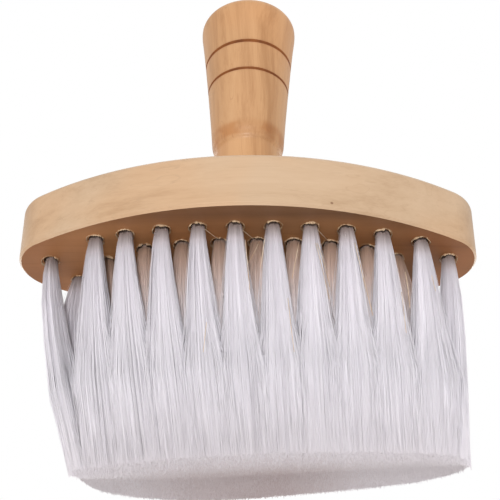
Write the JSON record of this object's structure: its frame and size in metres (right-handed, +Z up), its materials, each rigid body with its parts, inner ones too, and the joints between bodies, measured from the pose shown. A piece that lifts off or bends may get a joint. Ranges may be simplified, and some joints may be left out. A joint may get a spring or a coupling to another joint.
{
  "type": "neck duster brush",
  "caption": "Oval wooden brush head with rings of long soft filament tufts trimmed flat and a turned upright wooden handle, for brushing cut hair off neck and face.",
  "frame": {"origin": "point below the oval head's centre, on the handle's axis, in the plane of the trimmed tuft tips on which the brush stands", "axes": "+Z up along the handle, +X along the oval's long axis, +Y along its short axis"},
  "size_m": [0.1326, 0.0572, 0.1612],
  "materials": {
    "head_wood": "sanded light hardwood with a thin satin varnish, grain along the oval's long axis",
    "handle_wood": "turned light hardwood with a thin satin varnish, grain along the handle, burnt grooves",
    "filament": "bundle of fine soft white nylon filaments, slightly glossy",
    "anchor_wire": "drawn flat wire"
  },
  "bodies": {
    "root": {"anchor_staples": "anchor_wire", "handle": "handle_wood", "oval_head": "head_wood", "tuft_inner_01": "filament", "tuft_inner_02": "filament", "tuft_inner_03": "filament", "tuft_inner_04": "filament", "tuft_inner_05": "filament", "tuft_inner_06": "filament", "tuft_inner_07": "filament", "tuft_inner_08": "filament", "tuft_inner_09": "filament", "tuft_inner_10": "filament", "tuft_inner_11": "filament", "tuft_inner_12": "filament", "tuft_inner_13": "filament", "tuft_inner_14": "filament", "tuft_inner_15": "filament", "tuft_inner_16": "filament", "tuft_inner_17": "filament", "tuft_outer_01": "filament", "tuft_outer_02": "filament", "tuft_outer_03": "filament", "tuft_outer_04": "filament", "tuft_outer_05": "filament", "tuft_outer_06": "filament", "tuft_outer_07": "filament", "tuft_outer_08": "filament", "tuft_outer_09": "filament", "tuft_outer_10": "filament", "tuft_outer_11": "filament", "tuft_outer_12": "filament", "tuft_outer_13": "filament", "tuft_outer_14": "filament", "tuft_outer_15": "filament", "tuft_outer_16": "filament", "tuft_outer_17": "filament", "tuft_outer_18": "filament", "tuft_outer_19": "filament", "tuft_outer_20": "filament", "tuft_outer_21": "filament", "tuft_outer_22": "filament", "tuft_outer_23": "filament"}
  },
  "joints": []
}
